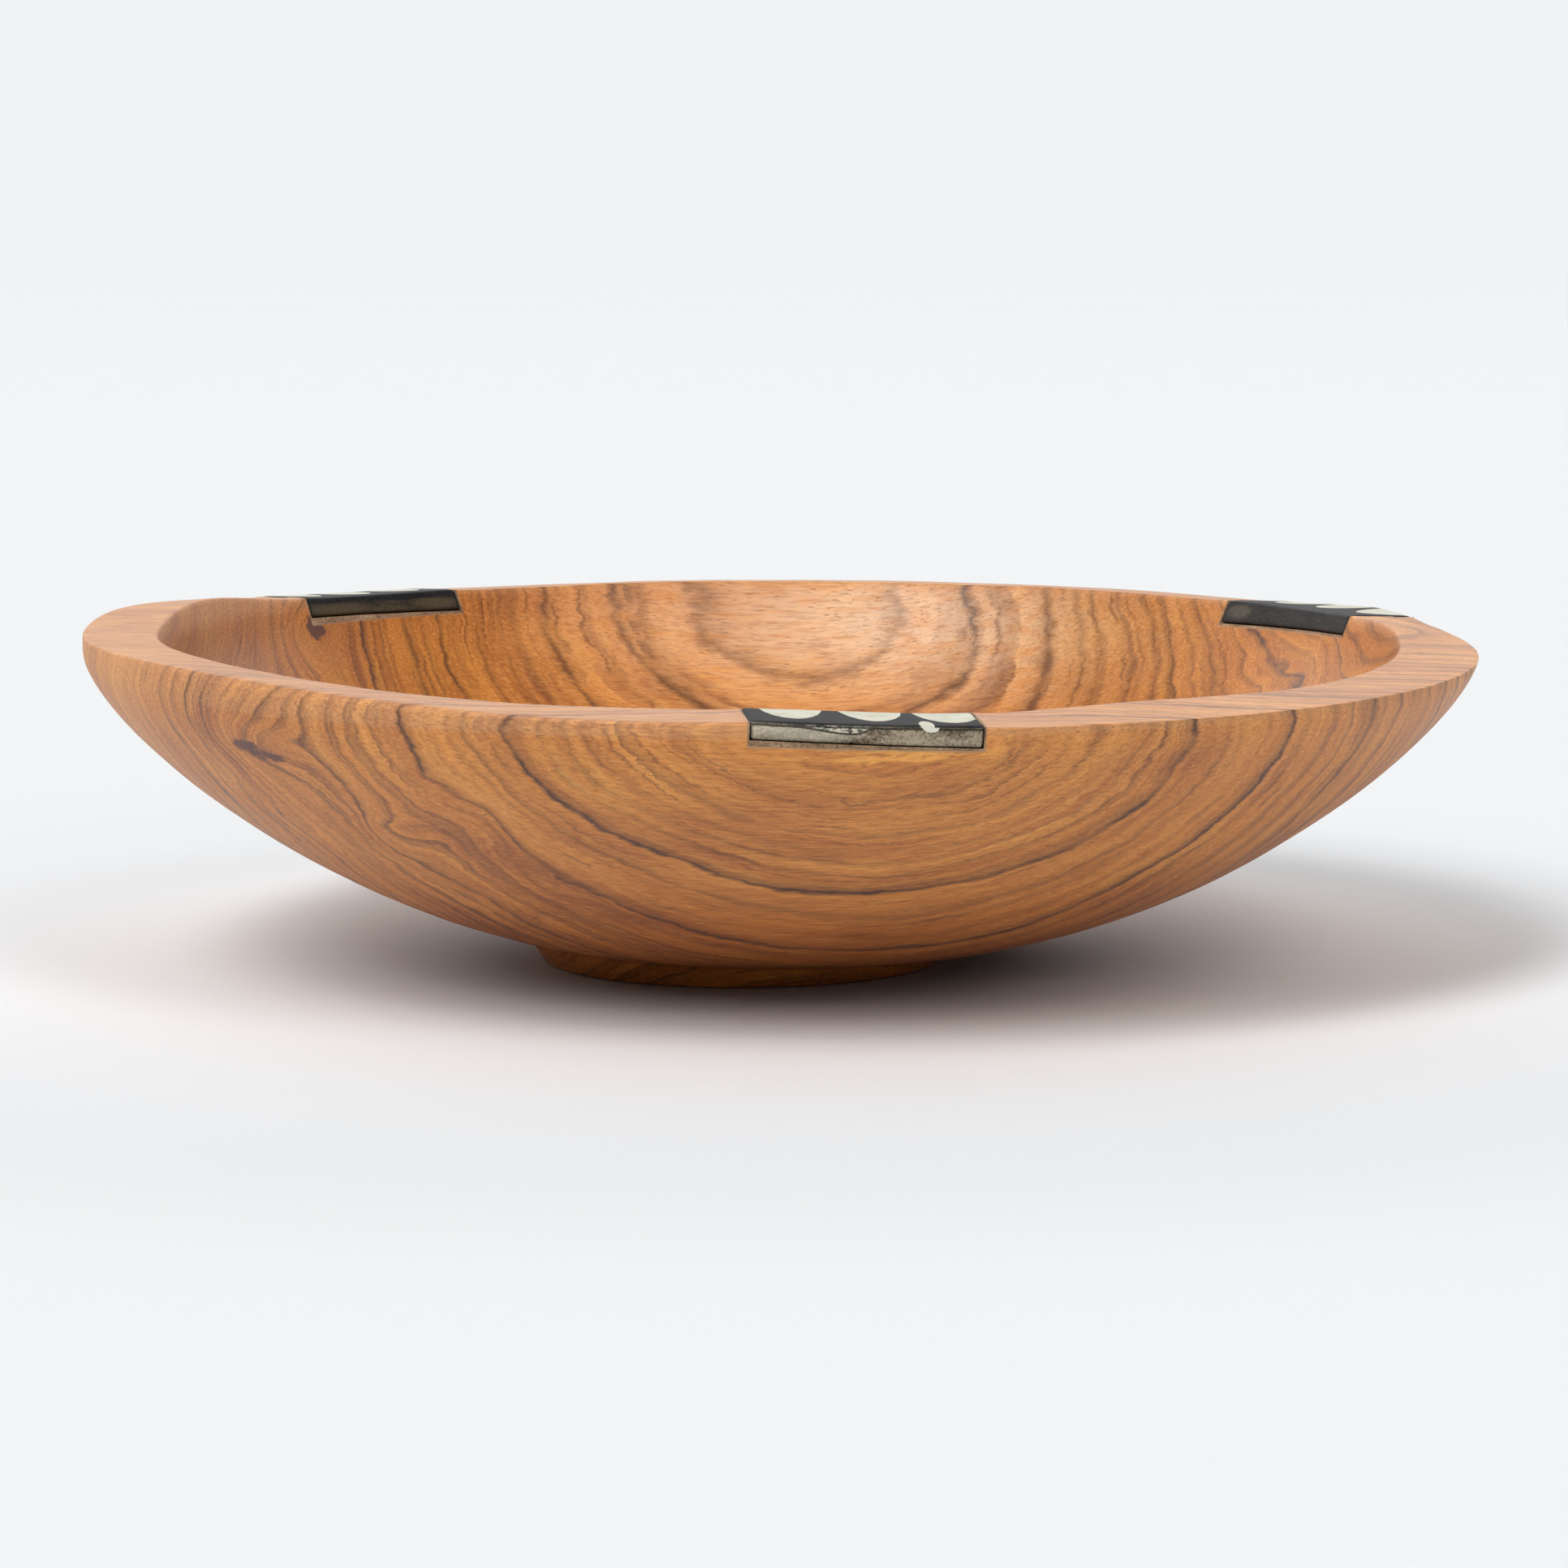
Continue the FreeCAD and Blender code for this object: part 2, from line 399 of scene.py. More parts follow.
# a painted sheen high on the rear inside
PAINTED_SHEEN_REAR = ((0.030, 0.128, 0.062), (0.062, 0.06, 0.017))               # high on the rear inside
# painted shade on the left wall, inside and out
PAINTED_SHADE_LEFT = ((-0.116, 0.012, 0.052), (0.030, 0.060, 0.030))             # left wall, inside and out

WOOD_TONES = [
    (0.38, (0.390, 0.124, 0.029)), (0.44, (0.520, 0.182, 0.038)), (0.52, (0.625, 0.236, 0.048)),
    (0.60, (0.700, 0.284, 0.059)), (0.68, (0.775, 0.358, 0.085))]
# painted light: the yellow of the crescent just under the front bar
PAINTED_LIGHT_YELLOW = (0.90, 0.42, 0.085)
# painted sheen: the pale cream of the patch high on the rear inside
PAINTED_SHEEN_CREAM = (0.80, 0.60, 0.42)
# painted shade: the brown of the darker left wall
PAINTED_SHADE_BROWN = (0.250, 0.088, 0.030)
FINE_LINE_BROWN = (0.170, 0.052, 0.018)
HAIR_LINE_BROWN = (0.150, 0.055, 0.026)
STRONG_LINE_BROWN = (0.056, 0.020, 0.013)
KNOT_BROWN = (0.075, 0.024, 0.020)
RIM_TAN = (0.54, 0.345, 0.200)
GLUE_TAN = (0.36, 0.22, 0.115)
FIBRE_GOLD = (0.88, 0.46, 0.13)
PORE_BROWN = (0.12, 0.048, 0.022)
# painted shade: filter for the darker sides inside the bowl
INNER_SIDE_PAINTED_SHADE = (0.80, 0.74, 0.52)
# painted shade: filter for the darker belly outside
BELLY_PAINTED_SHADE = (0.84, 0.66, 0.42)
FIBRE_FILTER = (0.52, 0.40, 0.33)

# the wall's middle lies this many times the cube of the radius above a base height
WALL_CUBE, WALL_BASE = 20.0, 0.0095
RIM_STARTS = (RIM_RADIUS - 0.0185, RIM_RADIUS - 0.0165)     # radii over which the top of the rim begins
RIM_HEIGHTS = (0.0655, 0.0675)
# glue rubbed over the wood under each bar: how far down in metres, shift of its noise
GLUE_SMEARS = {"front": (0.0006, 2.2), "rear_left": (0.0002, 5.5), "rear_right": (0.0003, 7.1)}


def growth_line_darkness(n, ring, lines):
    """Darkness of some growth lines: a sharp rise on the pith side, a soft tail outwards."""
    stops = [(0.0, (0, 0, 0))]
    reach = RING_HIGH - RING_LOW
    for place, dark, wide in lines:
        at = (place * MM - RING_LOW) / reach
        step = wide * MM / reach
        for offset, level in LINE_SHAPE:
            stops.append((at + offset * step, (dark * level,) * 3))
    stops.append((1.0, (0, 0, 0)))
    return n.ramp(n.span(ring, RING_LOW, RING_HIGH, kind="LINEAR"), stops)


def strong_lines(n, ring):
    """Darkness of all the strong growth lines, which fade in and out along their way."""
    groups = [GROWTH_LINES[i:i + LINES_PER_RAMP] for i in range(0, len(GROWTH_LINES), LINES_PER_RAMP)]
    lines = growth_line_darkness(n, ring, groups[0])
    for group in groups[1:]:
        lines = n.blend(1.0, lines, growth_line_darkness(n, ring, group), "LIGHTEN")
    patchy = n.span(n.noise(n.place, (0.030, 0.010, 0.010), 2.0, shift=11.0), 0.32, 0.60, 0.60, 1.15)
    calm_left_end = n.span(n.x, -0.138, -0.122, 0.25, 1.0)
    return n.mul(lines, patchy, calm_left_end)


def ring_distance(n):
    """Distance from the pith, with all the wandering of real growth."""
    across = n.add(n.mul(n.sub(n.y, PITH_Y), math.cos(PITH_TURN)), n.mul(n.x, -math.sin(PITH_TURN)))
    under = n.sub(n.z, n.math("MULTIPLY_ADD", n.x, PITH_RISE, PITH_HEIGHT))
    ring = n.math("SQRT", n.add(n.mul(across, across), n.mul(under, under)))
    troubled = n.add(*(n.near(centre, reach) for centre, reach in TROUBLED_WOOD))
    for size, detail, rough, shift, far, farther in RING_SWINGS:
        moved = n.add(far, n.mul(troubled, farther)) if farther else far
        ring = n.add(ring, n.mul(n.swing(n.place, size, detail, rough, shift=shift), moved))
    for centre, reach, shift in RING_BENDS:
        bend = n.near([c * MM for c in centre], [r * MM for r in reach])
        ring = n.add(ring, n.mul(bend, shift * MM))
    return ring


def inside_of_bowl(n, radius):
    """1 on the skin above the middle of the wall and within the rim."""
    middle = n.math("MULTIPLY_ADD", n.mul(radius, radius, radius), WALL_CUBE, WALL_BASE)
    return n.mul(n.span(n.sub(n.z, middle), -0.001, 0.001), n.span(radius, *RIM_STARTS, 1.0, 0.0))


def wood_between_lines(n, squeezed):
    """Bands and layers that follow the rings, and clouds that do not."""
    bands = n.noise(squeezed, (0.008, 0.008, 0.0044), 2.0, 0.55, shift=1.3)
    layers = n.noise(squeezed, (0.003, 0.003, 0.0010), 2.0, 0.65, shift=6.1)
    clouds = n.noise(n.place, (0.06, 0.025, 0.025), 2.0, 0.5, shift=4.4)
    return n.ramp(n.add(n.mul(bands, 0.36), n.mul(layers, 0.34), n.mul(clouds, 0.30)), WOOD_TONES)


def with_tone_patches(n, base, inside):
    streaky = n.noise(n.place, (0.012, 0.0022, 0.0022), 3.0, 0.6, shift=15.0)
    # painted light: a yellow crescent just under the front bar
    crescent = n.mul(n.near(*PAINTED_LIGHT_CRESCENT), n.span(streaky, 0.36, 0.56, 0.3, 1.0))
    base = n.blend(n.span(crescent, 0.2, 0.7, 0.0, 0.75), base, PAINTED_LIGHT_YELLOW)
    # a painted sheen, pale cream, high on the rear inside
    pale = n.mul(n.near(*PAINTED_SHEEN_REAR), inside, n.span(streaky, 0.30, 0.60, 0.35, 0.70))
    base = n.blend(pale, base, PAINTED_SHEEN_CREAM)
    # painted shade on the left wall, inside and out
    return n.blend(n.mul(n.near(*PAINTED_SHADE_LEFT), 0.50), base, PAINTED_SHADE_BROWN)


def fine_lines(n, tight, squeezed):
    """Thin growth lines between the strong ones: a sharp start and a fading tail."""
    drift = n.mul(n.swing(squeezed, (0.02, 0.02, 0.007), 1.0, shift=18.0), 0.6)
    beat = n.math("FRACT", n.math("MULTIPLY_ADD", tight, 1 / FINE_LINE_STEP, drift))
    line = n.mul(n.span(beat, 0.0, 0.08), n.span(beat, 0.10, 0.48, 1.0, 0.0))
    uneven = n.span(n.noise(squeezed, (0.012, 0.012, 0.0032), 1.0, shift=19.0), 0.44, 0.66, 0.05, 0.62)
    calm_ends = n.span(n.math("ABSOLUTE", n.x), 0.098, 0.118, 1.0, 0.25)
    patchy = n.span(n.noise(n.place, (0.040, 0.014, 0.014), 1.0, shift=20.0), 0.36, 0.56, 0.25, 1.0)
    return n.mul(line, uneven, calm_ends, patchy)


def hair_lines(n, squeezed):
    """Hair-thin darker layers, in some places only."""
    hair = n.span(n.noise(squeezed, (0.006, 0.006, 0.00075), 1.0, shift=16.0), 0.60, 0.70)
    return n.mul(hair, n.span(n.noise(n.place, (0.02, 0.008, 0.008), 1.0, shift=17.0), 0.42, 0.62))


def with_broad_tones(n, base, inside, on_rim):
    """Painted shade on the two sides inside and on the belly outside, and a paler rim."""
    # painted shade: the two sides of the inside darker and more saturated
    sides = n.mul(inside, n.span(n.math("ABSOLUTE", n.x), 0.035, 0.085))
    base = n.tint(n.mul(sides, 0.85), base, INNER_SIDE_PAINTED_SHADE)
    # painted shade: the outside darker towards the foot
    belly = n.mul(n.sub(1.0, inside), n.span(n.z, 0.010, 0.036, 1.0, 0.0))
    base = n.tint(belly, base, BELLY_PAINTED_SHADE)
    return n.blend(n.mul(on_rim, 0.28), base, RIM_TAN)


def with_fibres(n, base, fibre, pores):
    """Fibres and pores run along X: long fine streaks on the sides, dots on the end grain."""
    base = n.tint(n.span(fibre, 0.47, 0.66, 0.0, 0.45), base, FIBRE_FILTER)
    base = n.blend(n.span(fibre, 0.46, 0.30, 0.0, 0.30), base, FIBRE_GOLD)
    return n.blend(n.mul(pores, 0.48), base, PORE_BROWN)


def knot_hearts(n):
    knots = n.add(*(n.near(centre, reach) for centre, reach in KNOT_HEARTS))
    ragged = n.span(n.noise(n.place, (0.0022, 0.0022, 0.0022), 3.0, 0.6, shift=8.8), 0.3, 0.62, 0.4, 1.3)
    return n.span(n.mul(knots, ragged), 0.25, 0.75, 0.0, 0.90)


def along_and_outward(n, place):
    """Distances along a bar and outward from the bowl's axis."""
    c, s = place.outward.x, place.outward.y
    return n.add(n.mul(n.x, -s), n.mul(n.y, c)), n.add(n.mul(n.x, c), n.mul(n.y, s))


def glue_smear(n, place, reach, shift):
    """1 on the wood just under a bar, where glue and sawdust were rubbed in."""
    t, r = along_and_outward(n, place)
    below = n.sub(n.math("MULTIPLY_ADD", t, place.notch_bottom[1], place.notch_bottom[0]), n.z)
    wavy = n.noise(n.place, (0.006, 0.006, 0.006), 3.0, 0.6, shift=shift)
    edge = n.math("MULTIPLY_ADD", wavy, 2 * reach, -0.35 * reach)
    half = place.notch_half
    over_notch = n.span(n.math("ABSOLUTE", t), half - 0.0002, half + 0.0004, 1.0, 0.0)
    this_side = n.span(r, 0.05, 0.06)
    return n.mul(n.span(n.sub(below, edge), -0.0002, 0.0002, 1.0, 0.0), over_notch, this_side)


def olive_wood():
    n = Nodes("olive_wood")
    radius = n.math("SQRT", n.add(n.mul(n.x, n.x), n.mul(n.y, n.y)))
    inside = inside_of_bowl(n, radius)
    on_rim = n.mul(n.span(n.z, *RIM_HEIGHTS), n.span(radius, *RIM_STARTS))

    ring = ring_distance(n)
    lines = strong_lines(n, ring)
    beyond = n.math("MAXIMUM", n.sub(ring, BARK_SIDE), 0.0)
    tight = n.add(ring, n.mul(beyond, BARK_CROWDING))
    squeezed = n.join(n.mul(n.x, 0.12), n.mul(n.y, 0.12), tight)
    fibre = n.noise(n.place, (0.0070, 0.00055, 0.00055), 3.0, 0.66)
    pores = n.span(n.noise(n.place, (0.0030, 0.00040, 0.00040), 1.0, shift=2.0), 0.65, 0.74)

    base = with_tone_patches(n, wood_between_lines(n, squeezed), inside)
    base = n.blend(fine_lines(n, tight, squeezed), base, FINE_LINE_BROWN)
    base = n.blend(n.mul(hair_lines(n, squeezed), 0.50), base, HAIR_LINE_BROWN)
    base = with_broad_tones(n, base, inside, on_rim)
    base = with_fibres(n, base, fibre, pores)
    colour = n.blend(n.math("MULTIPLY", lines, 0.92, clamp=True), base, STRONG_LINE_BROWN)
    colour = n.blend(knot_hearts(n), colour, KNOT_BROWN)
    for name, (reach, shift) in GLUE_SMEARS.items():
        colour = n.blend(n.mul(glue_smear(n, PLACES[name], reach, shift), 0.75), colour, GLUE_TAN)
    n.plug(n.shader.inputs["Base Color"], colour)

    # the flat of the rim is rougher than the rest, and the inside reflects less
    n.plug(n.shader.inputs["Roughness"],
           n.add(0.41, n.mul(fibre, 0.10), n.mul(lines, -0.04), n.mul(on_rim, 0.10)))
    n.plug(n.shader.inputs["Specular IOR Level"], n.math("MULTIPLY_ADD", inside, -0.25, 0.52))
    scratches = n.noise(n.join(n.mul(n.x, 0.2), n.y, n.z), (0.0008, 0.0007, 0.0007), 1.0, shift=12.5)
    height = n.add(n.mul(fibre, 0.5), n.mul(pores, -0.6), n.mul(lines, -0.2), n.mul(scratches, 0.15))
    n.plug(n.shader.inputs["Normal"], n.bump(height, 0.00012, 0.55))
    return n.material


# ================================================================================================
# dyed bone and resin
# ================================================================================================
DYE_IN_CHIPS, BONE_IN_CHIPS = (0.05, 0.045, 0.04), (0.50, 0.47, 0.37)
FRONT_LENS_CREAM, CHIPPED_CREAM = (0.56, 0.52, 0.42), (0.56, 0.55, 0.46)
FRONT_OUTLINE, REAR_OUTLINE = (0.020, 0.017, 0.015), (0.012, 0.011, 0.010)
SCRATCH_GREY = (0.17, 0.17, 0.18)
CREAM_TONES = [(0.3, (0.52, 0.50, 0.39)), (0.7, (0.63, 0.63, 0.54))]
DYE_TONES = [(0.3, (0.009, 0.009, 0.010)), (0.7, (0.024, 0.023, 0.024))]
RESIN_TONES = [(0.34, (0.085, 0.045, 0.022)), (0.50, (0.26, 0.155, 0.080)), (0.66, (0.46, 0.32, 0.19))]
CHIP_DEPTH = 0.0012         # how much farther down the dye flaked off the front bar


def oval(n, a, b, centre, half_a, half_b):
    """Inside an oval over two distances: more than 0, largest in its middle."""
    a = n.math("MULTIPLY_ADD", a, 1 / half_a, -centre[0] / half_a)
    b = n.math("MULTIPLY_ADD", b, 1 / half_b, -centre[1] / half_b)
    return n.sub(1.0, n.add(n.mul(a, a), n.mul(b, b)))


def bone(name, oval_row, ovals, side_colours, lenses):
    """Bone dyed near black round undyed ovals; the sawn sides show the paler bone under the dye.

    ovals are (place along the bar, half length, half width), centred oval_row from the bowl's axis.
    lenses are (place along, height over the bottom), half length, half height, strength.
    """
    place = PLACES[name]
    n = Nodes("bone_" + name)
    t, r = along_and_outward(n, place)
    c0, c1, c2, c3 = place.top
    middle = 0.5 * (place.r_low + place.r_high)
    top = n.add(c0 - c2 * middle, n.mul(t, c1), n.mul(r, c2), n.mul(t, t, c3))
    look = SimpleNamespace(t=t, r=r, down=n.sub(top, n.z))
    look.up = n.sub(n.z, n.math("MULTIPLY_ADD", t, place.bottom[1], place.bottom[0]))
    look.on_top = n.span(look.down, 0.00022, 0.00050, 1.0, 0.0)

    ragged = n.mul(n.swing(n.place, (0.0016, 0.0016, 0.0016), 3.0, 0.6), 0.05)
    look.cream = n.ramp(n.noise(n.place, (0.004, 0.004, 0.0012), 3.0, 0.6, shift=3.0), CREAM_TONES)
    look.dye = n.ramp(n.noise(n.place, (0.007, 0.0012, 0.0012), 3.0, 0.6), DYE_TONES)
    undyed = 0.0
    for along, half_long, half_wide in ovals:
        inside = n.add(oval(n, t, r, (along, oval_row), half_long, half_wide), ragged)
        undyed = n.math("MAXIMUM", n.span(inside, -0.02, 0.06), undyed)
    look.top_colour = n.blend(undyed, look.dye, look.cream)

    look.speckle = n.noise(n.place, (0.0006, 0.0006, 0.0006), 3.0, 0.7, shift=5.0)
    look.patches = n.noise(n.place, (0.010, 0.010, 0.003), 3.0, 0.55, shift=7.0)
    mottled = n.add(n.mul(look.speckle, 0.55), n.mul(look.patches, 0.45))
    look.side = n.blend(n.span(mottled, 0.36, 0.64), *side_colours)
    look.light = 0.0
    for centre, half_long, half_high, strength in lenses:
        inside = n.add(oval(n, t, look.up, centre, half_long, half_high), n.mul(ragged, 3.0))
        look.light = n.math("MAXIMUM", n.mul(n.span(inside, -0.2, 0.9), strength), look.light)
    return n, look


def finish_bone(n, colour, rough, height):
    n.shader.inputs["Specular IOR Level"].default_value = 0.08
    n.plug(n.shader.inputs["Base Color"], colour)
    n.plug(n.shader.inputs["Roughness"], rough)
    n.plug(n.shader.inputs["Normal"], n.bump(height, 0.00008, 0.5))
    return n.material


def thin_line(n, value, middle, solid, faded):
    """1 where a value is near a middle, out to solid, gone at faded."""
    return n.span(n.math("ABSOLUTE", n.sub(value, middle)), solid, faded, 1.0, 0.0)


def end_line(n, look, place, starts, full):
    """1 at both ends of a bar; starts and full are distances from the end."""
    return n.span(n.math("ABSOLUTE", look.t), place.half - starts, place.half - full)


def front_side(n, look, place, chip):
    """Outer face of the front bar, where the dye crept over the sawn edges, and its dark outline."""
    side = n.blend(n.mul(look.light, 0.55), look.side, FRONT_LENS_CREAM)
    # the dye's lower edge dips where it flaked, left of the middle
    flaked = n.mul(n.span(look.t, -0.0155, -0.0030), n.span(look.t, -0.0025, 0.0010, 1.0, 0.0))
    upper = thin_line(n, look.down, n.add(0.00062, n.mul(chip, 0.00018)), 0.00010, 0.00030)
    dip = n.add(0.00070, n.mul(chip, 0.00016), n.mul(flaked, CHIP_DEPTH))
    lower = thin_line(n, look.down, dip, 0.00010, 0.00032)
    left_over = n.sub(n.mul(flaked, CHIP_DEPTH), n.sub(look.down, 0.0007))
    between = n.mul(n.span(left_over, 0.0, 0.0002), n.span(flaked, 0.05, 0.2))
    crumbs = n.noise(n.place, (0.0012, 0.0012, 0.0005), 3.0, 0.7, shift=3.3)
    side = n.blend(between, side, n.blend(n.span(crumbs, 0.42, 0.55), DYE_IN_CHIPS, BONE_IN_CHIPS))
    crack = n.add(oval(n, look.t, look.up, (-0.0032, 0.0), 0.0007, 0.0007), n.mul(chip, 0.2))
    bottom_line = n.span(n.sub(look.up, n.mul(chip, 0.00006)), 0.00010, 0.00034, 1.0, 0.0)
    outline = n.math("MAXIMUM", upper, lower)
    for more in (bottom_line, end_line(n, look, place, 0.0008, 0.0002), n.span(crack, 0.0, 0.3)):
        outline = n.math("MAXIMUM", outline, more)
    return n.blend(n.mul(outline, 0.88), side, FRONT_OUTLINE), outline


def front_bone():
    place = PLACES["front"]
    ovals = [(-0.0133, 0.0064, 0.0157), (0.0021, 0.0066, 0.0163), (0.0172, 0.0070, 0.0160)]
    n, look = bone("front", place.r_low + 0.0012, ovals, ((0.080, 0.057, 0.036), (0.41, 0.345, 0.245)),
                   [((-0.012, 0.0020), 0.0120, 0.0016, 0.8)])
    chip = n.swing(n.place, (0.0030, 0.0030, 0.0008), 3.0, 0.65, shift=2.0)
    side, outline = front_side(n, look, place, chip)
    # where the third oval was chipped through to the outer face
    spill = n.add(oval(n, look.t, look.down, (0.0122, 0.0003), 0.0017, 0.0010), n.mul(chip, 0.25))
    side = n.blend(n.span(spill, 0.0, 0.15), side, CHIPPED_CREAM)
    streak = oval(n, look.t, look.r, (0.0116, place.r_high - 0.0028), 0.0015, 0.0042)
    streak = n.span(n.add(streak, n.mul(chip, 0.2)), 0.0, 0.15)
    top_colour = n.blend(streak, look.top_colour, look.cream)
    colour = n.blend(look.on_top, side, top_colour)
    rough = n.math("MULTIPLY_ADD", look.on_top, 0.02, 0.60)
    height = n.mul(n.add(look.speckle, n.mul(outline, -1.2)), n.sub(1.0, n.mul(look.on_top, 0.9)))
    return finish_bone(n, colour, rough, height)


def rear_left_bone():
    place = PLACES["rear_left"]
    ovals = [(-0.0150, 0.0060, 0.0120), (0.0005, 0.0062, 0.0120), (0.0155, 0.0058, 0.0120)]
    lenses = [((0.0135, 0.0016), 0.0130, 0.0014, 0.9), ((-0.0165, 0.0022), 0.0070, 0.0014, 0.9),
              ((-0.003, 0.0012), 0.0080, 0.0008, 0.6)]
    n, look = bone("rear_left", place.r_high - 0.0020, ovals,
                   ((0.020, 0.016, 0.012), (0.060, 0.048, 0.034)), lenses)
    lens_colour = n.blend(look.speckle, (0.045, 0.033, 0.020), (0.115, 0.090, 0.055))
    side = n.blend(look.light, look.side, lens_colour)
    # the dye reaches half way down in a wavy sheet
    dip = n.mul(n.swing(n.place, (0.009, 0.009, 0.004), 2.0, 0.5, shift=2.0), 0.0006)
    sheet = n.span(n.sub(look.down, dip), 0.0014, 0.0019, 1.0, 0.0)
    side = n.blend(sheet, side, look.dye)
    bottom_line = n.span(look.up, 0.00010, 0.00035, 1.0, 0.0)
    outline = n.math("MAXIMUM", bottom_line, end_line(n, look, place, 0.0012, 0.0004))
    side = n.blend(n.mul(outline, 0.9), side, REAR_OUTLINE)
    colour = n.blend(look.on_top, side, look.top_colour)
    rough = n.math("MULTIPLY_ADD", n.math("MAXIMUM", sheet, look.on_top), 0.05, 0.50)
    return finish_bone(n, colour, rough, n.mul(look.speckle, 0.5))


def rear_right_bone():
    place = PLACES["rear_right"]
    ovals = [(-0.0175, 0.0064, 0.0100), (-0.0010, 0.0066, 0.0100), (0.0160, 0.0064, 0.0100)]
    n, look = bone("rear_right", place.r_high - 0.0020, ovals,
                   ((0.026, 0.025, 0.025), (0.052, 0.050, 0.049)), [((0.0200, 0.0030), 0.0046, 0.0018, 0.8)])
    lens_colour = n.blend(look.speckle, (0.060, 0.056, 0.044), (0.15, 0.135, 0.100))
    side = n.blend(look.light, look.side, lens_colour)
    lengthwise = n.join(n.mul(look.t, 0.16), n.mul(look.r, 0.16), n.z)
    scratches = n.span(n.noise(lengthwise, (0.0007, 0.0007, 0.00022), 2.0, 0.6, shift=4.0), 0.66, 0.74)
    side = n.blend(n.mul(scratches, 0.35), side, SCRATCH_GREY)
    side = n.blend(n.mul(end_line(n, look, place, 0.0010, 0.0003), 0.8), side, REAR_OUTLINE)
    colour = n.blend(look.on_top, side, look.top_colour)
    return finish_bone(n, colour, n.add(0.50, n.mul(look.patches, 0.12)), n.mul(scratches, -0.6))


def resin(name):
    """Cured glue with sawdust in it."""
    n = Nodes("resin_" + name)
    dust = n.noise(n.place, (0.0006, 0.0006, 0.0006), 3.0, 0.7, shift=2.0)
    slow = n.noise(n.place, (0.006, 0.006, 0.003), 2.0, shift=6.0)
    n.plug(n.shader.inputs["Base Color"], n.ramp(n.add(n.mul(dust, 0.6), n.mul(slow, 0.4)), RESIN_TONES))
    n.plug(n.shader.inputs["Roughness"], n.add(0.5, n.mul(dust, 0.2)))
    n.plug(n.shader.inputs["Normal"], n.bump(dust, 0.0003, 0.8))
    return n.material


# ================================================================================================
# the bowl's skin, measured from the CAD solids
# ================================================================================================
COLUMNS = 448
HIGH_BAND = 0.057           # above this height both walls are measured along level rays
SPINE = [(0.0, 0.009), (0.075, 0.009), (0.128, 0.035), (0.1435, 0.060)]     # (radius, height) in the wall
CARVING = 0.00040           # deepest hollows left by the carver's tools
ABOVE = 0.1                 # well over the rim
HOLLOW = 0.10               # a radius well inside the rim
OUTSIDE_START = 0.03        # how far off the wall's middle the rays start, outside and inside
INSIDE_START = 0.028
# places on the rim's top near its outer and inner edge, measured from the rim's radius, and from there
# to the edge
NEAR_OUTER, TO_OUTER = 0.0022, 0.0022
NEAR_INNER, TO_INNER = 0.0139, 0.0035


def spine_at(t):
    """Point of the wall's middle curve and its direction."""
    a, b, c, d = (Vector(p) for p in SPINE)
    u = 1 - t
    point = u ** 3 * a + 3 * u * u * t * b + 3 * u * t * t * c + t ** 3 * d
    along = u * u * (b - a) + 2 * u * t * (c - b) + t * t * (d - c)
    return point, along.normalized()


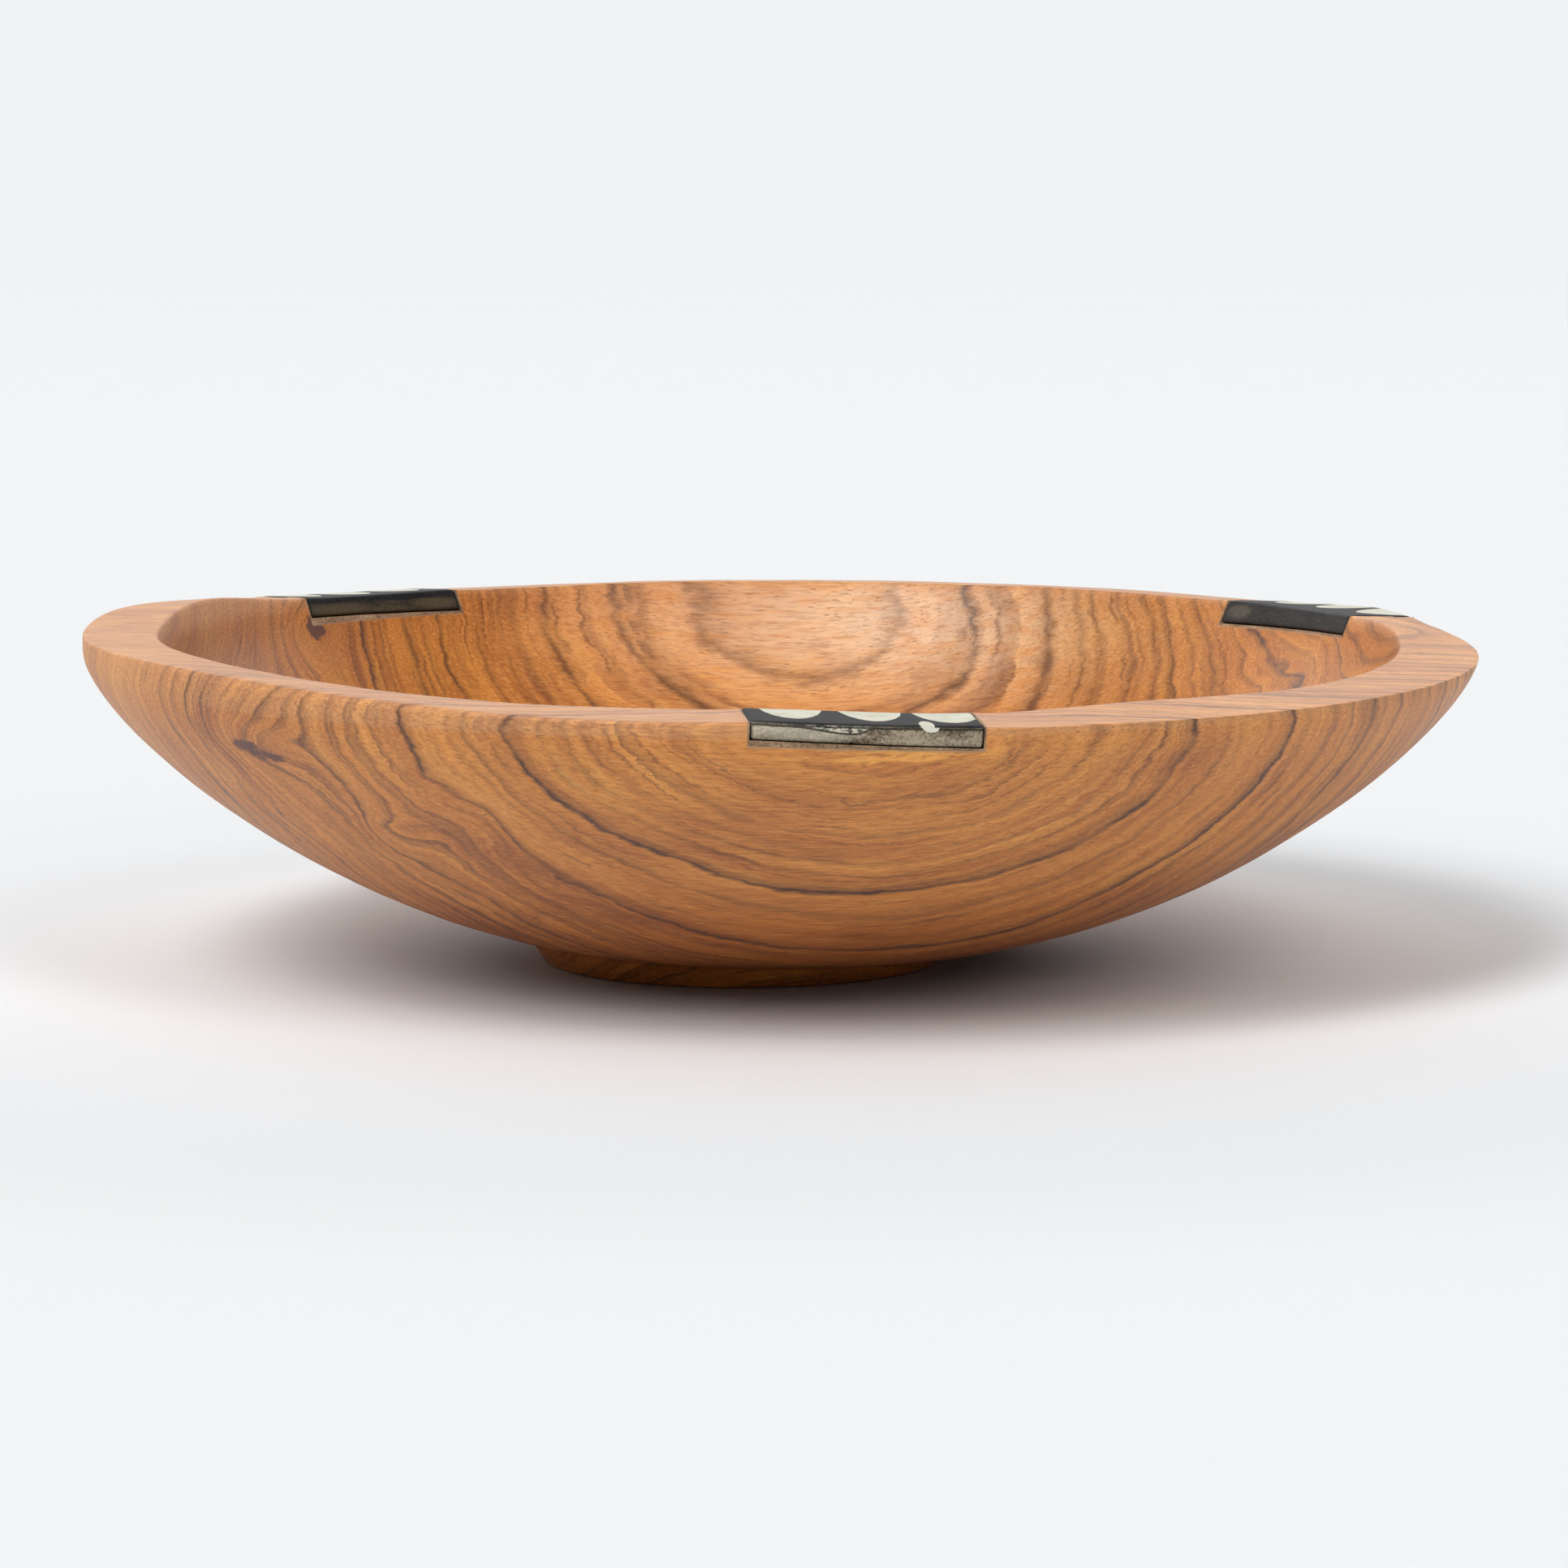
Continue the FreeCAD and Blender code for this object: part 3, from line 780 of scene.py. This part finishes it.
def bowl_skin():
    """Points over the skin, a row from foot to rim to floor for each angle, and where its edges are."""
    tree = tree_of(sorted(frame["nodes"]))
    sample = [spine_at(i / 400)[0].x for i in range(401)]
    steps = np.linspace(0, 1, 401)
    under_radii = (spread(0.006, 0.0415, 8) + spread(0.0420, 0.0444, 9) + spread(0.0449, 0.0520, 12)
                   + spread(0.0536, 0.1432, 54))
    inside_radii = spread(0.1430, 0.008, 64)
    columns = []
    for i in range(COLUMNS):
        a = 2 * math.pi * i / COLUMNS
        out = Vector((math.cos(a), math.sin(a), 0))
        points = []

        def cast(origin, direction):
            hit = tree.ray_cast(origin, direction)[0]
            if hit is None:
                raise RuntimeError("no skin found from %s" % origin)
            points.append(hit)

        for radius in under_radii:
            spot, along = spine_at(float(np.interp(radius, sample, steps)))
            off_centre = 1 - smooth_step(0.054, 0.105, radius)
            place = FOOT_CENTRE * off_centre + out * spot.x + Vector((0, 0, spot.y))
            away = out * along.y - Vector((0, 0, along.x))
            cast(place + away * OUTSIDE_START, -away)
        # heights of the rim's top at its two edges
        down = Vector((0, 0, -1))
        near_out, near_in = RIM_RADIUS - NEAR_OUTER, RIM_RADIUS - NEAR_INNER
        rim_out = tree.ray_cast(out * near_out + Vector((0, 0, ABOVE)), down)[0].z
        rim_in = tree.ray_cast(out * near_in + Vector((0, 0, ABOVE)), down)[0].z
        fall = (rim_in - rim_out) / (near_out - near_in)
        rim_out -= fall * TO_OUTER
        rim_in += fall * TO_INNER
        first_high = max(p.z for p in points) + 0.0012
        for z in spread(max(HIGH_BAND, first_high), rim_out - 0.00010, 18, 1.6):
            cast(out * (RIM_RADIUS + 0.02) + Vector((0, 0, z)), -out)
        edge_rows = [len(points)]
        inner_edge = tree.ray_cast(out * HOLLOW + Vector((0, 0, rim_in - 0.0004)), out)[0]
        low = Vector((inner_edge.x, inner_edge.y, 0)).length + 0.0003
        high = RIM_RADIUS - 0.00035
        half = 0.5 * (low + high)
        for radius in spread(high, half, 10, 0.55)[:-1] + spread(half, low, 10, 1.8):
            cast(out * radius + Vector((0, 0, ABOVE)), down)
        edge_rows.append(len(points))
        for z in spread(rim_in - 0.00030, HIGH_BAND, 14, 0.6):
            cast(out * HOLLOW + Vector((0, 0, z)), out)
        for radius in inside_radii:
            spot, along = spine_at(float(np.interp(radius, sample, steps)))
            away = Vector((0, 0, along.x)) - out * along.y
            start = out * spot.x + Vector((0, 0, spot.y)) + away * INSIDE_START
            hit = tree.ray_cast(start, -away)[0]
            if hit.z < HIGH_BAND - 0.0008:
                points.append(hit)
        columns.append(points)
    shortest = min(len(p) for p in columns)
    return np.array([[list(q) for q in p[:shortest - 1] + p[-1:]] for p in columns]), edge_rows


def soften_edges(skin, edge_rows):
    """Sand the edges: each row end relaxes towards its neighbours along the profile."""
    rows = skin.shape[1]
    weight = np.zeros(rows)
    for edge in edge_rows:
        weight[edge - 3:edge + 3] = 0.5
    for _ in range(4):
        relaxed = skin.copy()
        relaxed[:, 1:-1] = 0.5 * (skin[:, :-2] + skin[:, 2:])
        skin = skin + (relaxed - skin) * weight[None, :, None]
    return skin


def carve(skin):
    """Shallow hollows of hand carving, into the wood, none next to the bars or on the foot's face."""
    along = np.roll(skin, -1, axis=0) - np.roll(skin, 1, axis=0)
    up = np.gradient(skin, axis=1)
    normal = np.cross(along, up)
    normal /= np.linalg.norm(normal, axis=2, keepdims=True) + 1e-12
    depth = np.zeros(skin.shape[:2])
    for c in range(skin.shape[0]):
        angle = 2 * math.pi * c / COLUMNS
        spared = 1.0
        for place in PLACES.values():
            off = abs(math.remainder(angle - place.angle, 2 * math.pi)) * RIM_RADIUS
            spared = min(spared, smooth_step(place.notch_half + 0.001, place.notch_half + 0.010, off))
        for r in range(skin.shape[1]):
            p = Vector(skin[c, r])
            slow = noise.noise(p * 28.0) + 0.5 * noise.noise(p * 75.0 + Vector((5, 2, 1)))
            rim_zone = smooth_step(0.045, 0.060, p.z)
            off_foot = smooth_step(0.002, 0.006, p.z)
            depth[c, r] = CARVING * (0.5 - 0.5 * slow) * off_foot * (1 - rim_zone * (1 - spared))
    return skin - normal * np.clip(depth, 0, CARVING)[:, :, None]


def notch_cutter(place):
    """A block over the notch of a bar, a hair larger than the glue bed."""
    hair = 0.00002
    wide = place.notch_half + hair
    low = [place.notch_bottom[0] + place.notch_bottom[1] * t - hair for t in (-wide, wide)]
    corners = []
    for r in (RIM_RADIUS - 0.040, RIM_RADIUS + 0.020):
        for t, z in ((-wide, low[0]), (wide, low[1]), (wide, 0.1), (-wide, 0.1)):
            corners.append(place.point(t, r, z))
    faces = [(0, 1, 2, 3), (7, 6, 5, 4), (0, 4, 5, 1), (1, 5, 6, 2), (2, 6, 7, 3), (3, 7, 4, 0)]
    mesh = bpy.data.meshes.new("notch")
    mesh.from_pydata(corners, [], faces)
    block = bpy.data.objects.new("notch", mesh)
    bpy.context.scene.collection.objects.link(block)
    work = bmesh.new()
    work.from_mesh(mesh)
    bmesh.ops.recalc_face_normals(work, faces=work.faces)
    work.to_mesh(mesh)
    work.free()
    return block


def cut_notches(bowl):
    for place in PLACES.values():
        block = notch_cutter(place)
        cut = bowl.modifiers.new("cut", "BOOLEAN")
        cut.operation = "DIFFERENCE"
        cut.solver = "EXACT"
        cut.object = block
        done = bpy.data.meshes.new_from_object(bowl.evaluated_get(bpy.context.evaluated_depsgraph_get()))
        bowl.modifiers.clear()
        bowl.data = done
        bpy.data.objects.remove(block)
    bowl.data.set_sharp_from_angle(angle=math.radians(50))


def bowl_mesh(skin):
    rows = skin.shape[1]
    corners = [tuple(p) for p in skin.reshape(-1, 3)]
    faces = []
    for c in range(COLUMNS):
        d = (c + 1) % COLUMNS
        for r in range(rows - 1):
            faces.append((c * rows + r, d * rows + r, d * rows + r + 1, c * rows + r + 1))
    foot = len(corners)
    corners.append(tuple(skin[:, 0].mean(axis=0)))
    corners.append(tuple(skin[:, -1].mean(axis=0)))
    for c in range(COLUMNS):
        d = (c + 1) % COLUMNS
        faces.append((foot, d * rows, c * rows))
        faces.append((foot + 1, c * rows + rows - 1, d * rows + rows - 1))
    return corners, faces


def make_bowl():
    skin, edge_rows = bowl_skin()
    skin = carve(soften_edges(skin, edge_rows))
    corners, faces = bowl_mesh(skin)
    bowl = new_piece("bowl", corners, faces, olive_wood(), "bowl_body")
    cut_notches(bowl)


# ================================================================================================
# the bone bars
# ================================================================================================
BAR_ROUND = 0.0009          # how far the polished edges are rounded
ROUND_STEPS = 6


def bar_section(tree, place, t):
    """Loop of points round the bar at t: bottom, outer face, top, inner face."""
    reach = 0.5 * (place.r_high - place.r_low)
    middle = math.sqrt((0.5 * (place.r_high + place.r_low)) ** 2 - t * t)
    low = place.bottom[0] + place.bottom[1] * t
    high = place.top_at(t, middle)
    deep = 0.5 * (high - low)
    centre = place.point(t, middle, low + deep)
    targets = [(x, -1) for x in spread(-1, 1, 16)[:-1]]
    targets += [(1, y) for y in spread(-1, 1, 12)[:-1]]
    edge_in, edge_out = spread(1, 0, 18, 0.5), spread(0, -1, 18, 2.0)
    targets += [(x, 1) for x in edge_in[:-1] + edge_out[:-1]]
    targets += [(-1, y) for y in spread(1, -1, 12)[:-1]]
    loop = []
    for x, y in targets:
        ray = place.outward * (x * reach) + Vector((0, 0, y * deep))
        loop.append(tree.ray_cast(centre, ray)[0] or centre + ray)
    return np.array([list(p) for p in loop]), np.array(centre), deep, reach


def bar_rings(name):
    """Loops of points along a bar, drawn in at both ends for the rounded edges."""
    place = PLACES[name]
    tree = tree_of(["bone_inlay_" + name])
    half = place.half - 0.00001
    turns = [0.5 * math.pi * i / ROUND_STEPS for i in range(ROUND_STEPS + 1)]
    stations = [(-half + BAR_ROUND * (1 - math.cos(a)), BAR_ROUND * (1 - math.sin(a))) for a in turns]
    stations += [(t, 0.0) for t in spread(-half + 1.8 * BAR_ROUND, half - 1.8 * BAR_ROUND, 90)]
    stations += [(-t, inset) for t, inset in reversed(stations[:len(turns)])]
    rings = []
    for t, inset in stations:
        safe = max(-half + 0.00003, min(half - 0.00003, t))
        loop, centre, deep, reach = bar_section(tree, place, safe)
        for _ in range(3):
            loop = 0.5 * loop + 0.25 * (np.roll(loop, 1, axis=0) + np.roll(loop, -1, axis=0))
        offset = loop - centre
        along = np.array(place.outward)
        side = offset @ along
        offset = offset - np.outer(side, along) * (inset / reach)
        offset[:, 2] *= 1 - inset / deep
        rings.append(centre + offset + np.array(place.along) * (t - safe))
    return rings


def make_bar(name, material):
    rings = bar_rings(name)
    size = len(rings[0])
    corners = [tuple(p) for ring in rings for p in ring]
    faces = []
    for i in range(len(rings) - 1):
        for j in range(size):
            k = (j + 1) % size
            faces.append((i * size + j, i * size + k, (i + 1) * size + k, (i + 1) * size + j))
    for end, ring in ((0, rings[0]), (len(rings) - 1, rings[-1])):
        corners.append(tuple(ring.mean(axis=0)))
        for j in range(size):
            k = (j + 1) % size
            spoke = (end * size + j, len(corners) - 1, end * size + k)
            faces.append(spoke if end == 0 else tuple(reversed(spoke)))
    bar = new_piece("bone_bar_" + name, corners, faces, material, "bone_inlay_" + name)
    work = bmesh.new()
    work.from_mesh(bar.data)
    bmesh.ops.recalc_face_normals(work, faces=work.faces)
    work.to_mesh(bar.data)
    work.free()
    bar.data.set_sharp_from_angle(angle=math.radians(60))


make_bowl()
make_bar("front", front_bone())
make_bar("rear_left", rear_left_bone())
make_bar("rear_right", rear_right_bone())
for name in BARS:
    frame["nodes"]["resin_bed_" + name].data.materials[0] = resin(name)


# ================================================================================================
# camera, light and floor
# ================================================================================================
def make_camera():
    scene = bpy.context.scene
    scene.view_settings.view_transform = "Standard"

    camera_data = bpy.data.cameras.new("camera")
    camera_data.sensor_width = CAMERA_FRAME
    camera_data.lens = CAMERA_LENS
    camera_data.clip_start, camera_data.clip_end = 0.05, 60.0
    camera = bpy.data.objects.new("camera", camera_data)
    camera.location = CAMERA_PLACE
    camera.rotation_euler = (math.pi / 2 - CAMERA_DIP, 0, 0)
    scene.collection.objects.link(camera)
    scene.camera = camera


def softbox(name, azimuth, height_angle, strength):
    """A tall softbox far away: three soft discs above one another."""
    for i in (-1, 0, 1):
        a, e = math.radians(azimuth), math.radians(height_angle + DISC_STEP * i)
        data = bpy.data.lights.new(name, "SUN")
        data.angle = math.radians(DISC_WIDTH)
        data.energy = strength / 3
        lamp = bpy.data.objects.new(name, data)
        lamp.rotation_mode = "QUATERNION"
        towards = Vector((math.cos(e) * math.cos(a), math.cos(e) * math.sin(a), math.sin(e)))
        lamp.rotation_quaternion = towards.to_track_quat("Z", "Y")
        bpy.context.scene.collection.objects.link(lamp)


def make_world():
    """A lit pale wall behind the bowl, widest to the left; the room in front of it is dim."""
    world = bpy.data.worlds.new("studio")
    world.use_nodes = True
    bpy.context.scene.world = world
    tree = world.node_tree
    n = Nodes.on(tree, "Generated")
    level = n.math("SQRT", n.add(n.mul(n.x, n.x), n.mul(n.y, n.y), 1e-6))
    towards_wall = n.add(n.mul(n.x, math.cos(WALL_AZIMUTH)), n.mul(n.y, math.sin(WALL_AZIMUTH)))
    facing = n.math("DIVIDE", towards_wall, level)
    band = n.mul(n.span(n.z, *PANEL_FADES_IN), n.span(n.z, *PANEL_FADES_OUT, 1.0, 0.0))
    wall = n.mul(n.span(facing, -0.35, 1.0), n.add(n.mul(band, PANEL_RADIANCE), WALL_RADIANCE))
    above = n.add(ROOM_RADIANCE, wall)
    light = n.blend(n.span(n.z, 0.012, 0.05), PALE_ROOM, n.join(above, above, above))
    tree.links.new(light, tree.nodes["Background"].inputs["Color"])


def make_floor():
    n = Nodes("studio_floor")
    grain = n.noise(n.place, (0.0012, 0.0012, 0.0012), 2.0)
    far = n.math("SQRT", n.add(n.mul(n.x, n.x), n.mul(n.y, n.y)))
    # paler near the bowl: painted light
    paper = n.blend(n.span(far, 0.17, 0.30), PAPER_NEAR_PAINTED_LIGHT, PAPER_FAR)
    paper = n.blend(n.mul(grain, 0.08), paper, PAPER_GRAIN)
    # painted shadow right under the bowl
    paper = n.blend(n.span(far, 0.05, 0.16, 0.50, 0.0), paper, PAPER_PAINTED_SHADOW)
    n.plug(n.shader.inputs["Base Color"], paper)
    n.shader.inputs["Roughness"].default_value = 0.9
    n.shader.inputs["Specular IOR Level"].default_value = 0.0
    n.plug(n.shader.inputs["Alpha"], n.span(far, 1.4, 4.5, 1.0, 0.0))
    mesh = bpy.data.meshes.new("studio_floor")
    signs = ((-1, -1), (1, -1), (1, 1), (-1, 1))
    corners = [(x * FLOOR_HALF, y * FLOOR_HALF, FLOOR_HEIGHT) for x, y in signs]
    mesh.from_pydata(corners, [], [(0, 1, 2, 3)])
    mesh.materials.append(n.material)
    floor = bpy.data.objects.new("studio_floor", mesh)
    bpy.context.scene.collection.objects.link(floor)


make_camera()
for name, (azimuth, height_angle, strength) in SOFTBOXES.items():
    softbox(name, azimuth, height_angle, strength)
make_world()
make_floor()
